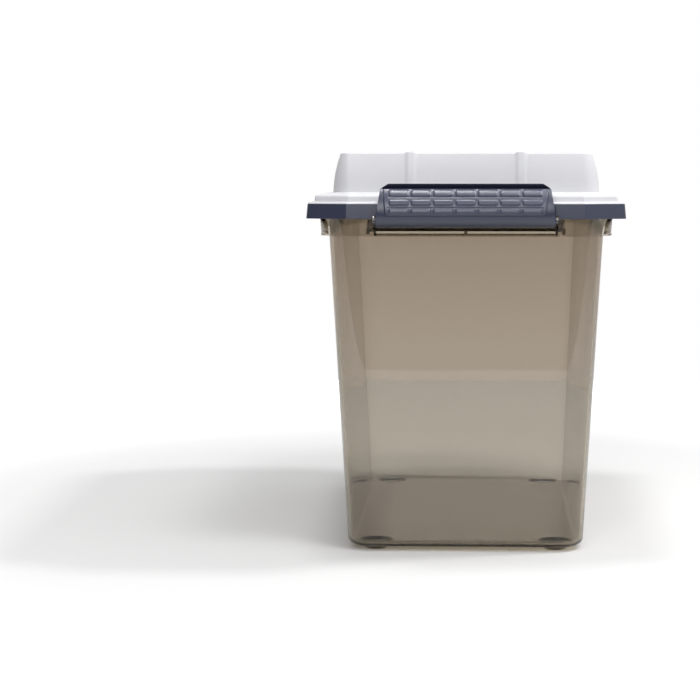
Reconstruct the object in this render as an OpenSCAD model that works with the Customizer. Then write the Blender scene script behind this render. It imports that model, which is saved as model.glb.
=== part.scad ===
// Portable file box for letter-size hanging folders.
// A see-through tub with a rim skirt, a two-part lid with a raised top and a fold-flat carry handle,
// and at each narrow end a snap latch that turns on stub pins in two ears of the tub.
// X runs across the box, Y along it and Z up. The origin is the centre of the footprint on the table.
// The folders hang along Y, on the two file rails inside the narrow ends.

/* [Tub] */
// Width of the tub at the underside of its floor
tub_foot_w = 184; // [160:1:200]
// Length of the tub at the underside of its floor
tub_foot_l = 308; // [290:1:330]
// Height of the tub from the underside of its floor to its rim
tub_h = 263.1; // [200:0.1:300]
// Draft of the tub's walls in degrees from upright
tub_draft = 3; // [2:0.1:4]
// Thickness of the tub's walls
tub_wall = 2.5; // [2:0.1:3.5]
// Thickness of the tub's floor
floor_t = 2.8; // [2:0.1:4]
// Radius of the tub's upright corners at the floor
corner_foot_r = 20; // [14:1:24]
// Radius of the tub's upright corners at the rim
corner_top_r = 24; // [18:1:28]
// Radius of the round edge under the floor
floor_edge_r = 6; // [3:0.5:9]

/* [Feet] */
// Height of the four hollow feet below the floor
foot_h = 3.3; // [3:0.1:6]
// Radius of a foot where it meets the floor
foot_r = 12; // [9:0.5:16]
// Radius of the flat tip that a foot stands on
foot_tip_r = 8; // [5:0.5:8.5]
// Distance of a foot's centre from the tub's side walls at floor level
foot_inset_x = 22; // [18:1:32]
// Distance of a foot's centre from the tub's end walls at floor level
foot_inset_y = 19; // [18:1:32]
// Thickness of a foot's sloping wall, measured level
foot_wall = 1.7; // [1.4:0.1:2.2]

/* [Rim skirt] */
// Distance from the tub's wall to the outside of the skirt at the rim
skirt_out = 6.6; // [6:0.1:10]
// Height of the skirt
skirt_h = 21.7; // [16:0.1:26]
// Thickness of the skirt
skirt_wall = 2.2; // [1.6:0.1:3]
// Draft of the skirt, which narrows downwards, in degrees
skirt_draft = 4.5; // [0:0.5:6]
// Height of the bead along the skirt's lower edge
bead_h = 1.2; // [0.8:0.1:2]
// Distance by which the bead stands out from the skirt
bead_out = 0.5; // [0.3:0.1:1]
// Thickness of the flange that joins the skirt to the tub's wall
flange_t = 2.2; // [1.6:0.1:3]
// Thickness of the ledge between the two ears of a narrow end
bay_ledge_t = 2; // [1.4:0.1:3]

/* [File rails] */
// Distance between the two rails, middle to middle
rail_spacing = 311; // [304:0.5:316]
// Length of a rail across the box
rail_l = 150; // [100:1:160]
// Thickness of a rail
rail_t = 2.4; // [1.8:0.1:3]
// Height of a rail above its ledge
rail_h = 8; // [5:0.5:10]
// Height of the gussets under a rail's ledge
gusset_h = 4.5; // [3:0.5:5]
// Depth of a rail's top edge below the tub's rim
rail_drop = 8; // [6:0.5:20]

/* [Lid frame] */
// Distance from the tub's skirt to the outside of the lid's rim
rim_out = 7.7; // [7:0.1:12]
// Thickness of the lid's rim
rim_wall = 2.4; // [1.8:0.1:3.2]
// Depth of the lid's rim below its deck
rim_drop = 8.8; // [6:0.1:10]
// Distance by which the lid's rim flares outwards from its top to its lower edge
rim_flare = 1; // [0:0.1:1.6]
// Thickness of the lid's deck
deck_t = 2.2; // [1.6:0.1:3]
// Length of a slanted corner of the rim, along the narrow end
corner_cut_x = 31; // [24:1:40]
// Depth of a slanted corner of the rim, along the long side
corner_cut_y = 13; // [8:1:24]
// Depth of the rib that centres the lid in the tub
centring_h = 5; // [3:0.5:6]
// Thickness of the centring rib
centring_t = 2; // [1.4:0.1:3]
// Space between the centring rib and the tub's wall
centring_gap = 1; // [0.6:0.1:2]
// Radius that softens the rim's upright edges
rim_soften = 2.5; // [1.5:0.5:6]

/* [Lid top] */
// Thickness of the light flange that covers the lid's frame
brim_t = 1.6; // [1.4:0.1:2.4]
// Size of the 45 degree edge round that flange, where the latches catch
brim_edge = 1.1; // [0.8:0.1:1.3]
// Distance between the flange's edge and the edge of the lid's frame below it
brim_inset = 0.3; // [0.2:0.1:0.8]
// Distance between the outer edge of the lid and the plate of the raised top
ledge_w = 6.2; // [6:0.1:9]
// Height of the upright edge of the plate above the lid's frame
plate_edge_h = 4.2; // [3.6:0.1:6]
// Radius that rounds the plate's edge
plate_edge_r = 3; // [1.5:0.1:4]
// Rise of the plate from its rounded edge to the foot of the raised top
plate_rise = 1.5; // [1:0.1:4]
// Width of the sloping plate round the raised top
plate_w = 13; // [9:0.5:18]
// Height of the raised top above its foot
dome_h = 29.4; // [20:0.1:40]
// Amount by which the raised top's walls curve inwards on their way up
dome_lean = 5.5; // [3:0.1:8]
// Share of that lean that is straight draft and not curve
dome_draft_share = 0.15; // [0:0.05:0.5]
// Size of the slanted edge round the raised top's roof
dome_edge = 0.8; // [0.5:0.1:2.2]
// Radius of the raised top's upright corners at its foot
dome_corner_r = 13; // [11:1:20]
// Thickness of the raised top's walls
dome_wall = 2.4; // [1.8:0.1:3]
// Distance of each stacking rib from the middle of the lid
rib_x = 41.6; // [36:0.1:60]
// Width of a stacking rib
rib_w = 9.8; // [6:0.1:11]
// Height of a stacking rib above the surface that it runs over
rib_out = 1.2; // [0.8:0.1:1.5]

/* [Carry handle] */
// Length of the handle along the box, over its arms
handle_l = 126; // [110:1:150]
// Distance from the handle's pivot to the middle of its grip
handle_reach = 30; // [26:0.5:32]
// Width of the grip
grip_w = 13; // [10:0.5:15]
// Thickness of the grip
grip_t = 9; // [7:0.5:10]
// Thickness of each arm, along the box
arm_t = 6; // [4:0.5:8]
// Radius of the handle's stub pins
handle_pin_r = 2.8; // [2:0.1:3.2]
// Depth of the handle's recess
recess_depth = 15; // [13:0.5:17]
// Radius of the recess's upright corners
recess_r = 4; // [2:0.5:6]
// Thickness of the recess's walls and floor
recess_wall = 2.2; // [1.8:0.1:3]
// Distance between the recess and a stacking rib
recess_rib_gap = 3.4; // [2.5:0.1:6]
// Distance between the folded grip and the recess's side
grip_side_gap = 3.4; // [2:0.1:4]
// Depth of the folded grip below the raised top's roof
grip_drop = 1; // [0.5:0.1:1.5]
// Thickness of the boss round a stub pin of the handle
boss_t = 3; // [2:0.1:4]

/* [Latch] */
// Width of a latch at its hinge
latch_w = 133.2; // [128:0.2:140]
// Width of a latch at its shoulders
latch_shoulder_w = 126.2; // [125:0.2:132]
// Width of a latch along its top edge
latch_top_w = 114.6; // [80:0.2:120]
// Height of a latch's top edge above its hinge
latch_rise = 27.3; // [26:0.1:29]
// Depth of a latch's shoulders below its top edge
shoulder_drop = 3.6; // [3:0.1:7]
// Distance of the hinge in front of the lid's rim
hinge_out = 4; // [3.8:0.1:4.6]
// Depth of the hinge below the lower edge of the lid's rim
hinge_drop = 1; // [0.8:0.1:2]
// Radius of a latch's stub pins
latch_pin_r = 1.85; // [1.5:0.05:2]
// Distance from the hinge to the fullest point of the latch's front
latch_bulge = 10.8; // [10.2:0.1:11.4]
// Radius of the curl under the fullest point
curl_r = 10.6; // [10.2:0.1:11]
// Depth of the curl's lowest point below the hinge
curl_drop = 5.7; // [5.4:0.1:6]
// Distance of the front's upper edge from the hinge, forwards
front_top_u = 2.2; // [1.8:0.1:2.6]
// Height and reach of the flared lip along a latch's top edge
flare = 3.4; // [2.8:0.1:3.8]
// Radius of the round back that the stub pins stand out of
knuckle_r = 3.4; // [3.2:0.1:3.6]
// Thickness of the latch's walls
latch_wall = 1.8; // [1.5:0.1:2.2]
// Radius of a latch's corners, seen from the front
latch_corner_r = 3; // [2:0.5:4]
// Reach of the catch lip beyond the lid's rim
catch_reach = 3; // [2:0.1:3.4]
// Height of the catch lip's blunt end
catch_tip_h = 1.6; // [1:0.1:1.8]
// Depth of the latch's cheeks behind the grip pad's face
cheek_set = 0.5; // [0.3:0.1:0.8]
// Thickness of the ears that carry a latch
ear_t = 1.8; // [1.6:0.1:3]
// Wall of an ear round the bore of its stub pin
ear_wall = 1.6; // [1.4:0.1:1.7]
// Turn below level, in degrees, at which an ear's lower edge meets its round end
ear_turn = 37; // [25:1:50]

/* [Brick grip] */
// Width of the grip pad at half its height
pad_w = 120.4; // [96:0.2:121.4]
// Lean of the pad's side edges, from half its height to its top and bottom
pad_taper = 1; // [0:0.1:1.2]
// Thickness of the grip pad without its bricks
pad_t = 1.7; // [1.4:0.1:2]
// Number of bricks in a row
brick_count = 7; // [5:1:9]
// Distance between neighbouring bricks, middle to middle
brick_pitch = 16.4; // [12:0.1:18]
// Space between neighbouring bricks
brick_gap = 1.2; // [1:0.1:3]
// Height of a brick's face above the pad
brick_out = 0.9; // [0.5:0.1:1.1]
// Radius of a brick's corners
brick_r = 1.6; // [0.8:0.1:1.7]
// Height of the lowest, the middle and the top row of bricks
brick_low_h = 4.1; // [3.6:0.1:4.4]
brick_mid_h = 4.8; // [4:0.1:5.1]
brick_top_h = 5.9; // [4:0.1:6.2]
// Space between the fullest point and the lowest row
brick_low_gap = 0.5; // [0.4:0.05:0.8]
// Space between two rows, with a thin line along its middle
brick_row_gap = 1.5; // [1.4:0.1:1.6]
// Height of the thin line between two rows
line_h = 0.5; // [0.3:0.1:0.8]
// Height of the thin line's face above the pad
line_out = 0.4; // [0.2:0.1:0.6]
// Radius of the pad's corners
pad_corner_r = 2; // [1:0.5:3]

/* [Hidden] */

// Running clearance of a pin in its bore, on the radius
pin_gap = 0.05;
// Clearance between pieces that sit on each other
seat_gap = 0.2;
// Clearance between pieces that pass each other
pass_gap = 0.4;
// Clearance round the grip pad
pad_gap = 0.1;
// Height of the thin slices that blended forms run between
skin = 0.01;
// Extra length of a cut, so that it leaves no skin
cut = 1;

// Levels of the tub
floor_z = foot_h + floor_t;
rim_z = foot_h + tub_h;
skirt_z = rim_z - skirt_h;
flange_z = rim_z - flange_t;
rail_top_z = rim_z - rail_drop;
rail_ledge_z = rail_top_z - rail_h;

// Levels of the lid
deck_z = rim_z + seat_gap;
ledge_z = deck_z + deck_t;
rim_low_z = deck_z - rim_drop;
brim_z = ledge_z + brim_t;
plate_edge_z = ledge_z + plate_edge_h;
dome_z = plate_edge_z + plate_edge_r + plate_rise;
dome_top_z = dome_z + dome_h;

// Outer width and length of the tub's wall at a height above the table
function tub_size(z) = [tub_foot_w, tub_foot_l] + (z - foot_h) * tan(tub_draft) * 2 * [1, 1];
// Outer radius of the tub's corners at a height above the table
function tub_corner(z) = corner_foot_r + (corner_top_r - corner_foot_r) * (z - foot_h) / tub_h;
// Outer width and length of the skirt at a height above the table
function skirt_size(z) = tub_size(rim_z) + 2 * (skirt_out - (rim_z - z) * tan(skirt_draft)) * [1, 1];

rim_size = skirt_size(rim_z) + 2 * rim_out * [1, 1];
plate_size = rim_size - 2 * ledge_w * [1, 1];
dome_size = plate_size - 2 * plate_w * [1, 1];

// Facets of a whole turn, on true rounds, on blended corners and on small corners
fine = 96;
blend = 48;
small = 24;
// Facets of the raised top's curved wall, of the front's long arc and of its curl
dome_steps = 6;
rib_steps = 4;
front_steps = 12;
curl_steps = 8;

// Colours of the four mouldings
smoke_colour = [0.42, 0.37, 0.33, 0.55];
navy_colour = [0.30, 0.32, 0.40];
grip_colour = [0.36, 0.38, 0.47];
white_colour = [0.88, 0.88, 0.90];

// ---- Shapes that several pieces share ----

// A disc whose lower edge is rounded
module rounded_disc(r, edge) {
    arc = [for (a = [-90:15:0]) [r - edge + edge * cos(a), edge + edge * sin(a)]];
    rotate_extrude($fn = blend)
        polygon(concat([[0, 0]], arc, [[0, edge]]));
}

// A block with rounded upright corners that grows from its low size to its high size
module drafted_block(low, high, low_r, high_r, h, edge = 0) {
    hull()
        for (x = [-1, 1], y = [-1, 1]) {
            translate([x * (low[0] / 2 - low_r), y * (low[1] / 2 - low_r), 0])
                if (edge > 0)
                    rounded_disc(low_r, edge);
                else
                    cylinder(r = low_r, h = skin, $fn = blend);
            translate([x * (high[0] / 2 - high_r), y * (high[1] / 2 - high_r), h - skin])
                cylinder(r = high_r, h = skin, $fn = blend);
        }
}

// The flat outline of the lid: a rectangle with slanted corners, moved in by inset
module lid_outline(inset) {
    half = rim_size / 2;
    offset(r = rim_soften, $fn = blend)
        offset(delta = -rim_soften - inset)
            polygon([
                for (q = [[1, 1], [-1, 1], [-1, -1], [1, -1]])
                    for (side = q[0] * q[1] > 0 ? [0, 1] : [1, 0])
                        [
                            q[0] * (half[0] - (side == 0 ? 0 : corner_cut_x)),
                            q[1] * (half[1] - (side == 0 ? corner_cut_y : 0))
                        ]
            ]);
}

// The points of a list in the opposite order
function reversed(points) = [for (i = [len(points) - 1:-1:0]) points[i]];

// A flat rectangle with round corners
module round_plate(size, r) {
    offset(r = r, $fn = blend)
        square([size[0] - 2 * r, size[1] - 2 * r], center = true);
}

// ---- Tub ----

module tub_shell() {
    difference() {
        union() {
            translate([0, 0, foot_h])
                drafted_block(
                    tub_size(foot_h), tub_size(rim_z), corner_foot_r, corner_top_r, tub_h, floor_edge_r);
            difference() {
                union() {
                    skirt_ring();
                    skirt_bead();
                }
                latch_bays();
            }
        }
        tub_hollow();
    }
}

// The space inside the tub
module tub_hollow() {
    low = tub_size(floor_z) - 2 * tub_wall * [1, 1];
    high = tub_size(rim_z + cut) - 2 * tub_wall * [1, 1];
    low_r = tub_corner(floor_z) - tub_wall;
    high_r = corner_top_r - tub_wall;
    edge = max(floor_edge_r - tub_wall, skin);
    translate([0, 0, floor_z])
        drafted_block(low, high, low_r, high_r, rim_z + cut - floor_z, edge);
}

// The skirt that hangs from the tub's flange, open below
module skirt_ring() {
    outer_r = corner_top_r + skirt_out;
    inner_r = outer_r - skirt_wall;
    difference() {
        translate([0, 0, skirt_z])
            drafted_block(skirt_size(skirt_z), skirt_size(rim_z), outer_r, outer_r, skirt_h);
        translate([0, 0, skirt_z - cut])
            drafted_block(
                skirt_size(skirt_z - cut) - 2 * skirt_wall * [1, 1],
                skirt_size(flange_z) - 2 * skirt_wall * [1, 1],
                inner_r, inner_r, flange_z - skirt_z + cut);
    }
}

// The bead round the skirt's lower edge
module skirt_bead() {
    size = skirt_size(skirt_z) + 2 * bead_out * [1, 1];
    r = corner_top_r + skirt_out + bead_out;
    translate([0, 0, skirt_z])
        linear_extrude(height = bead_h)
            difference() {
                round_plate(size, r);
                round_plate(size - (bead_out + skirt_wall) * [1, 1], r - (bead_out + skirt_wall) / 2);
            }
}

// At each narrow end the skirt is open between the ears, down to a ledge
bay_w = 2 * (latch_w / 2 + pass_gap);
module latch_bays() {
    for (end = [-1, 1])
        translate([-bay_w / 2, end > 0 ? tub_foot_l / 2 : -rim_size[1], skirt_z + bay_ledge_t])
            cube([bay_w, rim_size[1] - tub_foot_l / 2, flange_z - skirt_z - bay_ledge_t]);
}

// The ledge along the foot of a bay, from the tub's wall to the skirt
module bay_ledge() {
    back = tub_size(skirt_z)[1] / 2 - tub_wall / 2;
    front = skirt_size(skirt_z)[1] / 2 - skirt_wall / 2;
    translate([-bay_w / 2 - ear_t, -front, skirt_z])
        cube([bay_w + 2 * ear_t, front - back, bay_ledge_t]);
}

// The hinge of the rear latch; the front latch's is its mirror image
hinge_y = rim_size[1] / 2 + hinge_out;
hinge_z = rim_low_z - hinge_drop;
ear_r = latch_pin_r + pin_gap + ear_wall;

// One ear: a plate at right angles to the skirt that carries a latch's stub pin
module ear() {
    back = tub_size(skirt_z)[1] / 2 - tub_wall / 2;
    ear_top = rim_low_z - pass_gap;
    rotate([90, 0, 90])
        linear_extrude(height = ear_t)
            union() {
                polygon([
                    [-back, skirt_z],
                    [-back, ear_top],
                    [-hinge_y + hinge_out, ear_top],
                    [-hinge_y, hinge_z + hinge_drop / 2],
                    [-hinge_y - ear_r * cos(ear_turn), hinge_z - ear_r * sin(ear_turn)],
                    [-skirt_size(skirt_z)[1] / 2, skirt_z]
                ]);
                translate([-hinge_y, hinge_z])
                    circle(r = ear_r, $fn = fine);
            }
}

// The two ears of the front end and the ledge between them
module front_ears() {
    difference() {
        union() {
            translate([-bay_w / 2 - ear_t, 0, 0])
                ear();
            translate([bay_w / 2, 0, 0])
                ear();
            bay_ledge();
        }
        translate([-rim_size[0] / 2, -hinge_y, hinge_z])
            rotate([0, 90, 0])
                cylinder(r = latch_pin_r + pin_gap, h = rim_size[0], $fn = fine);
    }
}

// One file rail: a ledge on the end wall with an upright edge that the folder hooks hang on
module file_rail() {
    wall_y = tub_size(rail_ledge_z)[1] / 2 - tub_wall / 2;
    rail_y = rail_spacing / 2 - rail_t / 2;
    translate([-rail_l / 2, 0, rail_ledge_z]) {
        translate([0, -rail_y - rail_t, 0])
            cube([rail_l, rail_t, rail_h]);
        translate([0, -wall_y, -rail_t])
            cube([rail_l, wall_y - rail_y, rail_t]);
        for (x = [0, rail_l / 2 - rail_t / 2, rail_l - rail_t])
            translate([x, -wall_y, -gusset_h])
                cube([rail_t, wall_y - rail_y, gusset_h]);
    }
}

// The places of the four feet
function foot_places() = [
    for (x = [-1, 1], y = [-1, 1])
        [x * (tub_foot_w / 2 - foot_inset_x), y * (tub_foot_l / 2 - foot_inset_y)]
];

module foot_skin() {
    cylinder(r1 = foot_tip_r, r2 = foot_r, h = foot_h + skin, $fn = fine);
}

// The dimple that makes a foot hollow from inside the tub
module foot_dimple() {
    slope = (foot_r - foot_tip_r) / foot_h;
    dimple_low_r = foot_tip_r + slope * floor_t - foot_wall;
    translate([0, 0, floor_t])
        cylinder(r1 = dimple_low_r, r2 = dimple_low_r + slope * (foot_h + cut), h = foot_h + cut, $fn = fine);
}

module tub() {
    color(smoke_colour)
        difference() {
            union() {
                tub_shell();
                for (turn = [0, 180])
                    rotate([0, 0, turn]) {
                        front_ears();
                        file_rail();
                    }
                for (p = foot_places())
                    translate([p[0], p[1], 0])
                        foot_skin();
            }
            for (p = foot_places())
                translate([p[0], p[1], 0])
                    foot_dimple();
        }
}

// ---- Lid ----

// The opening in the lid's deck below the raised top
opening_inset = ledge_w + plate_w + dome_wall;
module deck_opening() {
    round_plate(rim_size - 2 * opening_inset * [1, 1], dome_corner_r - dome_wall);
}

// The dark frame of the lid: a rim that hangs over the tub's skirt, and a deck with a centring rib
module lid_frame() {
    inset = tub_wall + centring_gap;
    outside = tub_size(rim_z) - 2 * inset * [1, 1];
    color(navy_colour)
        difference() {
            hull() {
                translate([0, 0, rim_low_z])
                    linear_extrude(height = skin)
                        lid_outline(0);
                translate([0, 0, ledge_z - skin])
                    linear_extrude(height = skin)
                        lid_outline(rim_flare);
            }
            translate([0, 0, rim_low_z - cut])
                linear_extrude(height = deck_z - rim_low_z + cut)
                    lid_outline(rim_wall + rim_flare);
            translate([0, 0, deck_z - cut])
                linear_extrude(height = deck_t + 2 * cut)
                    deck_opening();
        }
    color(navy_colour)
        translate([0, 0, deck_z - centring_h])
            linear_extrude(height = centring_h + deck_t / 2)
                difference() {
                    round_plate(outside, corner_top_r - inset);
                    round_plate(outside - 2 * centring_t * [1, 1], corner_top_r - inset - centring_t);
                }
}

// Inward shift of the raised top's wall at a share t of its height
function dome_curve(t) = dome_lean * (dome_draft_share * t + (1 - dome_draft_share) * t * t);

// The raised top as a solid block, grown by grow on all sides and carried down by low
module dome_block(grow, low = 0) {
    h = dome_h + grow;
    r = dome_corner_r + grow;
    corner = dome_size / 2 - dome_corner_r * [1, 1];
    wall = [for (i = [0:dome_steps]) [r - dome_curve(i / dome_steps), (h - dome_edge) * i / dome_steps]];
    hull()
        for (x = [-1, 1], y = [-1, 1])
            translate([x * corner[0], y * corner[1], dome_z])
                rotate_extrude($fn = blend)
                    polygon(concat([[0, -low], [r, -low]], wall, [[r - dome_lean - dome_edge, h], [0, h]]));
}

// The sloping plate round the raised top, with a rounded edge
module plate_block() {
    hull() {
        translate([0, 0, ledge_z + brim_t / 2])
            linear_extrude(height = plate_edge_h - brim_t / 2)
                lid_outline(ledge_w);
        for (a = [30, 60, 90])
            translate([0, 0, plate_edge_z + plate_edge_r * sin(a) - skin])
                linear_extrude(height = skin)
                    lid_outline(ledge_w + plate_edge_r * (1 - cos(a)));
        translate([0, 0, dome_z - skin])
            linear_extrude(height = skin)
                round_plate(dome_size - dome_wall * [1, 1], dome_corner_r - dome_wall / 2);
    }
}

// The flange that covers the frame's deck, with the slanted edge that the latches catch
module brim() {
    hull() {
        translate([0, 0, ledge_z])
            linear_extrude(height = brim_t - brim_edge)
                lid_outline(rim_flare + brim_inset);
        translate([0, 0, brim_z - skin])
            linear_extrude(height = skin)
                lid_outline(rim_flare + brim_inset + brim_edge);
    }
}

// The space under the raised top and its plate
module lid_hollow() {
    dome_block(-dome_wall, dome_z - ledge_z + cut);
    hull() {
        translate([0, 0, ledge_z - cut])
            linear_extrude(height = cut + plate_edge_h)
                lid_outline(ledge_w + dome_wall);
        translate([0, 0, dome_z - dome_wall])
            linear_extrude(height = skin)
                round_plate(dome_size, dome_corner_r);
    }
}

// A rib's cross-section is an arc: its radius, and the half width and height at its points
rib_r = (pow(rib_w / 2, 2) + pow(rib_out, 2)) / (2 * rib_out);
rib_turn = asin(rib_w / 2 / rib_r);
function rib_half(i) = rib_r * sin(rib_turn * (1 - i / rib_steps));
function rib_rise(i) = rib_r * (cos(rib_turn * (1 - i / rib_steps)) - cos(rib_turn));

// One end of the raised top's profile seen from the side, from its foot to its roof, moved out by rise
function rib_profile(rise) = concat(
    [[dome_size[1] / 2 + rise, dome_z - plate_rise]],
    [
        for (i = [1:dome_steps])
            [
                dome_size[1] / 2 - dome_curve(i / dome_steps) + rise,
                dome_z + (dome_h - dome_edge) * i / dome_steps + (i == dome_steps ? rise : 0)
            ]
    ],
    [[dome_size[1] / 2 - dome_lean - dome_edge + rise, dome_top_z + rise]]
);

// A rib that runs up the narrow end, over the roof and down the far end
module stacking_rib() {
    hull()
        for (i = [0:rib_steps - 1])
            rotate([90, 0, 90])
                linear_extrude(height = 2 * rib_half(i), center = true)
                    polygon(concat(
                        rib_profile(rib_rise(i)),
                        [for (p = reversed(rib_profile(rib_rise(i)))) [-p[0], p[1]]]));
}

// The recess of the handle and the handle's pivot
recess_w = 2 * (rib_x - rib_w / 2 - recess_rib_gap);
recess_l = handle_l + 2 * pass_gap;
recess_floor_z = dome_top_z - recess_depth;
handle_x = recess_w / 2 - grip_w / 2 - grip_side_gap - handle_reach;
handle_z = dome_top_z - grip_drop - grip_t / 2;

// The recess as a solid block, grown by grow below and at the sides
module recess_block(grow) {
    translate([0, 0, recess_floor_z - grow])
        linear_extrude(height = recess_depth + cut + grow)
            round_plate([recess_w, recess_l] + 2 * grow * [1, 1], recess_r + grow);
}

// The boss round one bore of the handle
module handle_boss() {
    cylinder(r = handle_pin_r + boss_t, h = boss_t + recess_wall, center = true, $fn = fine);
}

// The bores of the handle's two stub pins
module handle_bores() {
    translate([handle_x, -handle_l, handle_z])
        rotate([-90, 0, 0])
            cylinder(r = handle_pin_r + pin_gap, h = 2 * handle_l, $fn = fine);
}

// The light raised top, hollow below, with its stacking ribs and the recess of the handle
module lid_top() {
    color(white_colour)
        difference() {
            union() {
                difference() {
                    union() {
                        dome_block(0, plate_rise);
                        plate_block();
                        brim();
                        for (x = [-rib_x, rib_x])
                            translate([x, 0, 0])
                                stacking_rib();
                    }
                    lid_hollow();
                }
                intersection() {
                    union() {
                        recess_block(recess_wall);
                        for (end = [-1, 1])
                            translate([handle_x, end * (recess_l / 2 + boss_t / 2), handle_z])
                                rotate([90, 0, 0])
                                    handle_boss();
                    }
                    translate([-rim_size[0], -rim_size[1], 0])
                        cube([2 * rim_size[0], 2 * rim_size[1], dome_top_z - dome_wall / 2]);
                }
            }
            recess_block(0);
            handle_bores();
        }
}

// The fold-flat handle: a rounded grip between two arms, with a stub pin on each arm
module carry_handle() {
    pin_l = recess_wall + boss_t;
    color(navy_colour)
        translate([handle_x, 0, handle_z]) {
            for (end = [-1, 1])
                translate([0, end * (handle_l - arm_t) / 2, 0]) {
                    translate([0, -arm_t / 2, 0])
                        rotate([-90, 0, 0]) {
                            cylinder(r = grip_t / 2, h = arm_t, $fn = fine);
                            translate([0, -grip_t / 2, 0])
                                cube([handle_reach, grip_t, arm_t]);
                            translate([handle_reach, 0, 0])
                                cylinder(r = grip_t / 2, h = arm_t, $fn = fine);
                        }
                    rotate([-90 * end, 0, 0])
                        cylinder(r = handle_pin_r, h = arm_t / 2 + pass_gap + pin_l, $fn = fine);
                }
            translate([handle_reach, handle_l / 2, 0])
                rotate([90, 0, 0])
                    linear_extrude(height = handle_l)
                        union() {
                            square([grip_w - grip_t, grip_t], center = true);
                            for (side = [-1, 1])
                                translate([side * (grip_w - grip_t) / 2, 0])
                                    circle(r = grip_t / 2, $fn = fine);
                        }
        }
}

// ---- Latch ----
// Its cross-section is drawn in u, the distance in front of the hinge, and v, the height above it.

crown_v = curl_r - curl_drop;
front_top_v = latch_rise - flare;
// Radius of the long arc of the front, from the fullest point to the front's upper edge
front_u = latch_bulge - front_top_u;
front_r = (pow(front_top_v - crown_v, 2) + pow(front_u, 2)) / (2 * front_u);

// The long arc at a depth below the grip pad's face, from the fullest point upwards
function front_arc(inset) = [
    for (i = [0:front_steps])
        let (a = asin((front_top_v - crown_v) / front_r) * i / front_steps)
        [latch_bulge - front_r + (front_r - inset) * cos(a), crown_v + (front_r - inset) * sin(a)]
];

// The curl at a depth below the grip pad's face, from its lowest point to the fullest point
function curl_arc(inset) = [
    for (i = [0:curl_steps])
        let (a = 90 * i / curl_steps - 90)
        [latch_bulge - curl_r + (curl_r - inset) * cos(a), crown_v + (curl_r - inset) * sin(a)]
];

// The leaf's two faces, the upper face of the lid's flange, and the catch lip's end
leaf_in = pass_gap - hinge_out;
leaf_out = leaf_in + latch_wall;
brim_v = brim_z - hinge_z;
catch_in = -hinge_out - catch_reach;
catch_out = -hinge_out - rim_flare - brim_inset;

// The band of the front shell between two depths below the grip pad's face
module front_band(outer, inner) {
    polygon(concat(curl_arc(outer), front_arc(outer), reversed(front_arc(inner)), reversed(curl_arc(inner))));
}

// The leaf behind the front shell, with the flared lip above and the slanting catch lip behind
module leaf_section() {
    catch_v = brim_v - brim_edge + leaf_in - catch_out - pass_gap;
    tip_v = catch_v + leaf_in - catch_in;
    polygon([
        [leaf_in, 0],
        [leaf_out, 0],
        [leaf_out, latch_rise - flare],
        [leaf_out + flare, latch_rise],
        [leaf_in, latch_rise],
        [leaf_in, tip_v + 2 * catch_tip_h],
        [catch_in, tip_v + catch_tip_h],
        [catch_in, tip_v],
        [leaf_in, catch_v]
    ]);
}

// The closed end of a latch, from the leaf to the front
module cheek_section() {
    polygon(concat(
        [[leaf_in, 0], [leaf_in, front_top_v], [leaf_out, front_top_v]],
        reversed(front_arc(cheek_set)),
        reversed(curl_arc(cheek_set))));
}

// Seen from the front, a latch narrows upwards to its shoulders and is cut off slantwise above them
module latch_face() {
    right_side = [
        [latch_w / 2, -curl_drop - cut],
        [latch_w / 2, 0],
        [latch_shoulder_w / 2, latch_rise - shoulder_drop],
        [latch_top_w / 2, latch_rise]
    ];
    left_side = [for (p = right_side) [-p[0], p[1]]];
    offset(r = latch_corner_r, $fn = blend)
        offset(delta = -latch_corner_r)
            polygon(concat(right_side, reversed(left_side)));
}

// Stands a u-v section up along X, centred, at the front hinge
module along_hinge(width) {
    translate([-width / 2, -hinge_y, hinge_z])
        rotate([90, 0, 90])
            linear_extrude(height = width)
                mirror([1, 0])
                    children();
}

// Stands an x-v outline up in front of the hinge, deep enough to cut any section
module facing_front() {
    depth = 60;
    translate([0, -hinge_y + depth / 2, hinge_z])
        rotate([90, 0, 0])
            linear_extrude(height = depth)
                children();
}

// Levels of the grip pad's lower and upper edge: the lower one lies just below the fullest point
pad_low_v = crown_v - brick_low_gap;
pad_high_v = front_top_v - pad_gap;

// The outline of the grip pad, seen from the front: it is a little narrower at its foot
module pad_face(grow) {
    right_side = [
        [pad_w / 2 - pad_taper, pad_low_v],
        [pad_w / 2 + pad_taper, pad_high_v]
    ];
    left_side = [for (p = right_side) [-p[0], p[1]]];
    offset(r = pad_corner_r + grow, $fn = small)
        offset(delta = -pad_corner_r)
            polygon(concat(right_side, reversed(left_side)));
}

// A latch without its grip pad: front shell, leaf, closed ends, round back and stub pins
module latch() {
    cheek_t = (latch_w - pad_w) / 2 - latch_wall;
    color(navy_colour)
        union() {
            difference() {
                intersection() {
                    union() {
                        along_hinge(latch_w - cheek_t) {
                            front_band(cheek_set, pad_t + pad_gap + latch_wall);
                            leaf_section();
                        }
                        for (side = [-1, 1])
                            translate([side * (latch_w - cheek_t) / 2, 0, 0])
                                along_hinge(cheek_t)
                                    cheek_section();
                    }
                    facing_front()
                        latch_face();
                }
                intersection() {
                    along_hinge(latch_w)
                        front_band(-cut, pad_t + pad_gap);
                    facing_front()
                        pad_face(pad_gap);
                }
            }
            translate([-latch_w / 2, -hinge_y, hinge_z])
                rotate([0, 90, 0])
                    cylinder(r = knuckle_r, h = latch_w, $fn = fine);
            translate([-latch_w / 2 - pass_gap - ear_t, -hinge_y, hinge_z])
                rotate([0, 90, 0])
                    cylinder(r = latch_pin_r, h = latch_w + 2 * (pass_gap + ear_t), $fn = fine);
        }
}

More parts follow.
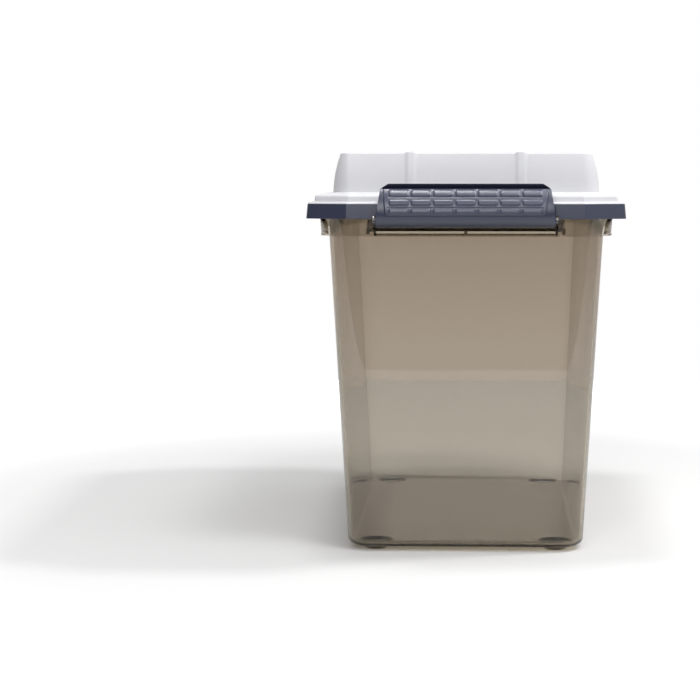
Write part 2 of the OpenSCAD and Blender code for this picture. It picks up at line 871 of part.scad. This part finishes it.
// The three rows of bricks, from the lowest up: each row's lower edge and height
brick_rows = [
    [crown_v + brick_low_gap, brick_low_h],
    [crown_v + brick_low_gap + brick_low_h + brick_row_gap, brick_mid_h],
    [crown_v + brick_low_gap + brick_low_h + brick_mid_h + 2 * brick_row_gap, brick_top_h]
];

// The outlines of all bricks, seen from the front
module bricks_face() {
    w = brick_pitch - brick_gap;
    for (row = brick_rows, i = [0:brick_count - 1])
        translate([(i - (brick_count - 1) / 2) * brick_pitch, row[0] + row[1] / 2])
            offset(r = brick_r, $fn = small)
                square([w - 2 * brick_r, row[1] - 2 * brick_r], center = true);
}

// The thin lines between the rows, seen from the front
module lines_face() {
    line_l = brick_count * brick_pitch;
    for (row = [brick_rows[1], brick_rows[2]])
        translate([-line_l / 2, row[0] - brick_row_gap / 2 - line_h / 2])
            square([line_l, line_h]);
}

// The grip pad: a curved plate with three rows of bricks and a thin line between the rows
module grip_pad() {
    color(grip_colour)
        union() {
            intersection() {
                along_hinge(latch_w)
                    front_band(0, pad_t);
                facing_front()
                    pad_face(0);
            }
            intersection() {
                along_hinge(pad_w)
                    front_band(-brick_out, pad_t / 2);
                facing_front()
                    bricks_face();
            }
            intersection() {
                along_hinge(pad_w)
                    front_band(-line_out, pad_t / 2);
                facing_front()
                    lines_face();
            }
        }
}

module latch_front() {
    latch();
}

module latch_rear() {
    mirror([0, 1, 0])
        latch();
}

module grip_pad_front() {
    grip_pad();
}

module grip_pad_rear() {
    mirror([0, 1, 0])
        grip_pad();
}

tub();
lid_frame();
lid_top();
carry_handle();
latch_front();
latch_rear();
grip_pad_front();
grip_pad_rear();
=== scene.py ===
import math

import bmesh
import bpy
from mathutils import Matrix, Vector


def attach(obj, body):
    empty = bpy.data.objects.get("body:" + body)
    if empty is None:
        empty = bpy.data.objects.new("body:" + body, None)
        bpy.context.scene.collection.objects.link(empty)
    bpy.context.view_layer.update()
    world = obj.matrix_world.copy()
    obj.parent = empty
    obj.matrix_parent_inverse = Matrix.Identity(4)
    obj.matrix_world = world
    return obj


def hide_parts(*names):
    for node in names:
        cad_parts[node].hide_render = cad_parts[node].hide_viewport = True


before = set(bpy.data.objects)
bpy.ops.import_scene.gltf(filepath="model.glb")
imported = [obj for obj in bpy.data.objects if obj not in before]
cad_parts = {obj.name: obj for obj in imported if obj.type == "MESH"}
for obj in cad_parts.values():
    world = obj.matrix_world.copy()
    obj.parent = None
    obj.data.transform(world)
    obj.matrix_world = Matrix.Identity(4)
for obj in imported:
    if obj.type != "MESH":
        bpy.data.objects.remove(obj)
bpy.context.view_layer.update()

# ---- Camera ----
# The box is seen square on to a narrow end, from a little above the lid and from
# about a metre and a half away, with the box to the right of the middle.
camera = bpy.data.objects.new("camera", bpy.data.cameras.new("camera"))
bpy.context.scene.collection.objects.link(camera)
camera.data.sensor_width = 36
camera.data.lens = 90.95
camera.data.shift_x = -0.1055
camera.data.clip_start = 0.05
camera.data.clip_end = 50
camera.location = (0.0095, -1.4986, 0.2938)
camera.rotation_euler = (math.radians(90 - 5.797), 0, math.radians(1.763))
bpy.context.scene.camera = camera

# ---- Room ----
# A white room whose light comes from above, from the front and from the right, and whose lower half is
# dim. Seen through the tub and in reflections of the back, the room is painted darker and browner, most
# near the horizon, which shows towards the top of the tub: painted shade standing in for the shade of the
# lid and skirt.
bpy.context.scene.view_settings.view_transform = "Standard"


class Wire:
    """A shader value that adds its Math nodes when it is used in an expression."""

    def __init__(self, nodes, socket):
        self.nodes = nodes
        self.socket = socket

    def math(self, operation, *others):
        return self.nodes.make("ShaderNodeMath", {"operation": operation}, (self, *others))

    def __add__(self, other):
        return self.math("ADD", other)

    def __mul__(self, other):
        return self.math("MULTIPLY", other)

    __radd__ = __add__
    __rmul__ = __mul__


class Finish:
    """A material or world with an empty node tree, and one method that adds a node to it."""

    def __init__(self, owner):
        owner.use_nodes = True
        self.owner = owner
        self.tree = owner.node_tree
        self.tree.nodes.clear()

    def make(self, kind, settings=None, values=(), **named):
        node = self.tree.nodes.new(kind)
        for name, value in (settings or {}).items():
            if name == "stops":
                for stop, (place, colour) in zip(node.color_ramp.elements, value):
                    stop.position = place
                    stop.color = (*colour, 1)
            else:
                setattr(node, name, value)
        for key, value in [*enumerate(values), *named.items()]:
            socket = node.inputs[key if isinstance(key, int) else key.replace("_", " ")]
            if isinstance(value, Wire):
                self.tree.links.new(value.socket, socket)
            else:
                socket.default_value = value
        return Wire(self, next((s for s in node.outputs if s.enabled), None))

    def output(self, wire, name):
        return Wire(self, wire.socket.node.outputs[name])

    def show(self, kind="ShaderNodeOutputMaterial", **wires):
        end = self.tree.nodes.new(kind)
        for name, wire in wires.items():
            self.tree.links.new(wire.socket, end.inputs[name])
        return self.owner


room = Finish(bpy.data.worlds.new("room"))
rays = room.make("ShaderNodeLightPath")
direction = room.output(room.make("ShaderNodeTexCoord"), "Generated")
split = room.make("ShaderNodeSeparateXYZ", None, (direction,))
across, along, rise = (room.output(split, axis) for axis in "XYZ")
# Painted shade: a deeper brown tone near the horizon and a paler one above and below it.
painted_shade_deep = (0.74, 0.65, 0.60)
painted_shade_pale = (0.92, 0.87, 0.85)
painted_shade_ramp = room.make(
    "ShaderNodeValToRGB", {"stops": [(0.3, painted_shade_deep), (1.0, painted_shade_pale)]}, (rise.math("ABSOLUTE") * 10,)
)
smooth = {"interpolation_type": "SMOOTHSTEP"}
least_light = 0.04
right_light = 0.40
above = room.make("ShaderNodeMapRange", smooth, (rise, -0.05, 0.4, 0.08, 0.56))
ahead = room.make("ShaderNodeMapRange", smooth, (along, 0.3, -0.3, 0.75, 1.1))
strength = (above * ahead + across * right_light).math("MAXIMUM", least_light)
backdrop = room.make("ShaderNodeMapRange", None, (along, -0.1, 0.2, 0.0, 1.0))
direct = room.output(rays, "Is Camera Ray")
mirrored = room.output(rays, "Is Glossy Ray") * backdrop
through = (room.output(rays, "Is Transmission Ray") + mirrored).math("MINIMUM", 1.0)
plain = room.make("ShaderNodeBackground", Color=(1, 1, 1, 1), Strength=strength)
seen = room.make("ShaderNodeBackground", Color=(1, 1, 1, 1), Strength=1.0)
# Painted shade, seen only through the tub and in reflections of the back.
behind = room.make("ShaderNodeBackground", Color=painted_shade_ramp, Strength=1.0)
lit = room.make("ShaderNodeMixShader", None, (direct, plain, seen))
room.show("ShaderNodeOutputWorld", Surface=room.make("ShaderNodeMixShader", None, (through, lit, behind)))
bpy.context.scene.world = room.owner

# ---- Table ----
# A matt white table that ends a good way behind the box. Far from the box the camera sees
# it glow a little, so that it goes over into the white room without an edge.
table_near = -0.80
table_far = 0.973
table_side = 2.6


def object_from(bm, name):
    """Ends a bmesh and links it as an object of that name."""
    mesh = bpy.data.meshes.new(name)
    bm.to_mesh(mesh)
    bm.free()
    piece = bpy.data.objects.new(name, mesh)
    bpy.context.scene.collection.objects.link(piece)
    return piece


bm = bmesh.new()
bmesh.ops.create_grid(bm, x_segments=1, y_segments=1, size=1)
bmesh.ops.scale(bm, vec=(table_side, (table_far - table_near) / 2, 1), verts=bm.verts)
bmesh.ops.translate(bm, vec=(0, (table_far + table_near) / 2, 0), verts=bm.verts)
table = object_from(bm, "table")
white = Finish(bpy.data.materials.new("white_table"))
rays = white.make("ShaderNodeLightPath")
direct = white.output(rays, "Is Camera Ray")
mirrored = white.output(rays, "Is Glossy Ray")
shown = (direct + mirrored + white.output(rays, "Is Transmission Ray")).math("MINIMUM", 1.0)
spot = white.output(white.make("ShaderNodeTexCoord"), "Object")
away = white.make("ShaderNodeVectorMath", {"operation": "LENGTH"}, (spot,))
veil = white.make("ShaderNodeMapRange", smooth, (away, 0.38, 0.95, 0.0, 0.7))
matt = white.make("ShaderNodeBsdfDiffuse", Color=0.5 + shown * 0.40)
glow = white.make("ShaderNodeEmission", Color=(1, 1, 1, 1), Strength=direct * veil)
table.data.materials.append(white.show(Surface=white.make("ShaderNodeAddShader", None, (matt, glow))))

# ---- Lamps ----
# A lamp straight from the right throws the long pale shadow, and a larger and higher one
# from the front right the short dark one. One hangs overhead, and a wide one is in front.


def softbox(name, place, aim, size, watts):
    lamp = bpy.data.lights.new(name, "AREA")
    lamp.shape = "RECTANGLE"
    lamp.size, lamp.size_y = size
    lamp.energy = watts
    holder = bpy.data.objects.new(name, lamp)
    bpy.context.scene.collection.objects.link(holder)
    holder.location = place
    holder.rotation_euler = (Vector(aim) - Vector(place)).to_track_quat("-Z", "Y").to_euler()


softbox("right_lamp", (1.25, 0.0, 1.80), (0, 0, 0.15), (0.25, 0.2), 12)
softbox("high_lamp", (0.58, -0.76, 1.95), (0, 0, 0.15), (0.5, 0.5), 8)
softbox("top_lamp", (-0.2, -0.1, 2.3), (0, 0, 0.15), (0.4, 0.4), 11)
softbox("front_fill", (-0.35, -2.3, 1.3), (0, 0, 0.2), (1.2, 1.0), 15)

# ---- Smoke tub ----
# One see-through moulding, tinted a warm smoke grey all through, so it is darkest where it
# is seen edge-on. It is polished inside and out, with faint ripples, and its floor is frosted.


def moulded(node, body, bevel=0.0):
    """A copy of a CAD node with its facets joined, its flats cleaned and its edges softened."""
    crease = math.radians(30)
    bm = bmesh.new()
    bm.from_mesh(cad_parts[node].data)
    bmesh.ops.remove_doubles(bm, verts=bm.verts, dist=1e-6)
    bmesh.ops.dissolve_degenerate(bm, edges=bm.edges, dist=2e-5)
    bmesh.ops.dissolve_limit(
        bm, angle_limit=math.radians(0.6), verts=bm.verts, edges=bm.edges, use_dissolve_boundaries=False
    )
    if bevel:
        sharp = [e for e in bm.edges if len(e.link_faces) == 2 and e.calc_face_angle(0) > crease]
        bmesh.ops.bevel(
            bm, geom=sharp, offset=bevel, offset_type="OFFSET", affect="EDGES", segments=2,
            profile=0.5, material=-1, clamp_overlap=False,
        )
    for face in bm.faces:
        face.smooth = True
    piece = object_from(bm, node + "_moulded")
    piece.data.set_sharp_from_angle(angle=crease)
    flats = piece.modifiers.new("flats", "WEIGHTED_NORMAL")
    flats.keep_sharp = True
    flats.weight = 100
    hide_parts(node)
    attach(piece, body)
    return piece


smoke = Finish(bpy.data.materials.new("smoke_plastic"))
spot = smoke.output(smoke.make("ShaderNodeTexCoord"), "Object")
flow = smoke.make("ShaderNodeTexNoise", None, (), Vector=spot, Scale=14.0, Detail=2.0)
handled = smoke.make("ShaderNodeTexNoise", None, (), Vector=spot, Scale=60.0, Detail=4.0)
height = smoke.output(smoke.make("ShaderNodeSeparateXYZ", None, (spot,)), "Z")
frost = smoke.make("ShaderNodeMapRange", smooth, (height, 0.0125, 0.0065, 0.0, 1.0))
ripple = smoke.make("ShaderNodeBump", None, (), Strength=0.03, Distance=0.002, Height=flow)
glass = smoke.make(
    "ShaderNodeBsdfPrincipled",
    Base_Color=(0.93, 0.92, 0.905, 1),
    Roughness=0.01 + handled * 0.03 + frost * 0.12,
    IOR=1.49,
    Transmission_Weight=1.0,
    Normal=ripple,
)
lamplight = smoke.make("ShaderNodeBsdfTransparent", Color=(0.83, 0.82, 0.80, 1))
lamp_rays = smoke.output(smoke.make("ShaderNodeLightPath"), "Is Shadow Ray")
tint = smoke.make("ShaderNodeVolumeAbsorption", Color=(0.356, 0.28, 0.124, 1), Density=225.0)
tub = moulded("tub", "tub")
tub.data.materials.append(
    smoke.show(Surface=smoke.make("ShaderNodeMixShader", None, (lamp_rays, glass, lamplight)), Volume=tint)
)

# ---- Lid frame ----
# The dark blue frame of the lid: a rim that hangs over the tub's skirt and a flat deck.
# It is a satin moulding with a very fine grain.


def satin(name, colour, roughness, grain, coat):
    """Moulded plastic: a fine grain, a slow change of gloss and a faint change of shade."""
    finish = Finish(bpy.data.materials.new(name))
    spot = finish.output(finish.make("ShaderNodeTexCoord"), "Object")
    fine = finish.make("ShaderNodeTexNoise", None, (), Vector=spot, Scale=2400.0, Detail=2.0)
    slow = finish.make("ShaderNodeTexNoise", None, (), Vector=spot, Scale=28.0, Detail=3.0)
    shades = [(0.3, [0.975 * c for c in colour]), (0.7, [1.025 * c for c in colour])]
    return finish.show(Surface=finish.make(
        "ShaderNodeBsdfPrincipled", None, (),
        Base_Color=finish.make("ShaderNodeValToRGB", {"stops": shades}, (slow,)),
        Roughness=roughness - 0.04 + slow * 0.08,
        IOR=1.49,
        Coat_Weight=coat,
        Coat_Roughness=0.3,
        Normal=finish.make("ShaderNodeBump", None, (), Strength=grain, Distance=0.0004, Height=fine),
    ))


navy = satin("navy_plastic", (0.036, 0.043, 0.082), 0.36, 0.06, 0.6)
lid_frame = moulded("lid_frame", "lid", 0.0003)
lid_frame.data.materials.append(navy)

# ---- Raised top ----
# The white upper half of the lid, clipped to the frame, with two ribs that keep a
# second box from sliding and a recess for the handle.
lid_top = moulded("lid_top", "lid", 0.0003)
lid_top.data.materials.append(satin("white_plastic", (0.75, 0.75, 0.78), 0.42, 0.06, 0.0))

# ---- Carry handle ----
# A bail handle of the same dark blue plastic, moulded in one with its two stub pins. It lies
# in its recess in the roof and turns up on the pins.
handle = moulded("carry_handle", "handle", 0.0005)
handle.data.materials.append(navy)

# ---- Latches ----
# Each narrow end has a snap latch of the same dark blue plastic. It turns on two stub
# pins between the tub's ears and snaps over the edge of the lid.
for end in ("front", "rear"):
    latch = moulded("latch_" + end, end + "_latch", 0.0004)
    latch.data.materials.append(navy)

# ---- Grip pads ----
# A pad of the same dark blue plastic lies in the face of each latch, with its base colour painted about a
# quarter lighter than the latch's: painted light. Its front follows the latch's curve and has three rows
# of seven louvre-like bricks, fullest along their lower edges.

# Heights on the latch's face are measured from its hinge, and a row has its two edges.
hinge_y = 0.186088
hinge_z = 0.2568
face_out = 0.0108
crown = 0.0049
face_r = 0.025288
curl_r = 0.0106
pad_low = 0.0044
pad_high = 0.0238
pad_half = 0.0592
pad_spread = 0.002
pad_corner_r = 0.002
pad_wall = 0.0015
pad_round = 0.0006
pad_sink = 0.0004
brick_count = 7
brick_pitch = 0.0164
brick_w = 0.0152
brick_rows = ((0.0054, 0.0095), (0.0110, 0.0158), (0.0173, 0.0232))
brick_corner_r = 0.0016
brick_slope = 0.0014
brick_out = 0.0005
louvre_out = 0.0004
louvre_rate = 1.4
row_half = 0.0574
line_half = 0.00025
line_slope = 0.0002
line_out = 0.0003


def soft(t):
    """A smooth step from 0 to 1."""
    t = min(1.0, max(0.0, t))
    return t * t * (3 - 2 * t)


def pad_relief(x, v, rim):
    """How far the pad's front stands out at x and v, at a distance of rim from its edge."""
    raised = 0.0
    half_w = brick_w / 2 - brick_corner_r
    for bottom, top in brick_rows:
        for i in range(brick_count):
            dx = abs(x - brick_pitch * (i - (brick_count - 1) / 2)) - half_w
            dv = abs(v - (bottom + top) / 2) - ((top - bottom) / 2 - brick_corner_r)
            inside = brick_corner_r - math.hypot(max(dx, 0), max(dv, 0)) - min(max(dx, dv), 0)
            if inside > 0:
                lean = soft((top - v) / (top - bottom) * louvre_rate)
                raised = max(raised, soft(inside / brick_slope) * (brick_out + louvre_out * lean))
    for (_, top), (next_bottom, _) in zip(brick_rows, brick_rows[1:]):
        inside = line_half - abs(v - (top + next_bottom) / 2)
        if abs(x) < row_half:
            raised = max(raised, line_out * soft(inside / line_slope + 0.5))
    return raised - pad_sink * (1 - soft(rim / pad_round))


def grip_pad(end, side):
    """The pad as one body: a front raised by its bricks, a skirt round it and a flat back."""
    bm = bmesh.new()
    bmesh.ops.create_grid(bm, x_segments=420, y_segments=66, size=1)
    for vert in bm.verts:
        v = pad_low + (pad_high - pad_low) * (vert.co.y + 1) / 2
        near = min(v - pad_low, pad_high - v)
        half = pad_half + pad_spread * (v - pad_low) / (pad_high - pad_low)
        if near < pad_corner_r:
            half -= pad_corner_r - math.sqrt(pad_corner_r ** 2 - (pad_corner_r - near) ** 2)
        x = half * vert.co.x
        r = face_r if v >= crown else curl_r
        turn = math.asin((v - crown) / r)
        reach = r + pad_relief(x, v, min(near, half - abs(x)))
        out = face_out - r + reach * math.cos(turn)
        vert.co = (x, -side * (hinge_y + out), hinge_z + crown + reach * math.sin(turn))
    bmesh.ops.recalc_face_normals(bm, faces=bm.faces)
    edge = [e for e in bm.edges if e.is_boundary]
    skirt = bmesh.ops.extrude_edge_only(bm, edges=edge)["geom"]
    for vert in [g for g in skirt if isinstance(g, bmesh.types.BMVert)]:
        vert.co.y += side * pad_wall
    back = [g for g in skirt if isinstance(g, bmesh.types.BMEdge) and g.is_boundary]
    bmesh.ops.triangle_fill(bm, use_beauty=True, edges=back)
    bmesh.ops.recalc_face_normals(bm, faces=bm.faces)
    for face in bm.faces:
        face.smooth = True
    pad = object_from(bm, "grip_pad_" + end + "_bricks")
    pad.data.set_sharp_from_angle(angle=math.radians(50))
    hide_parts("grip_pad_" + end)
    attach(pad, end + "_latch")
    return pad


# Painted light: the latch's navy with a base colour about a quarter lighter.
pad_plastic_painted_lighter = satin("pad_plastic_painted_lighter", (0.045, 0.053, 0.100), 0.35, 0.05, 0.8)
for end, side in (("front", 1), ("rear", -1)):
    grip_pad(end, side).data.materials.append(pad_plastic_painted_lighter)
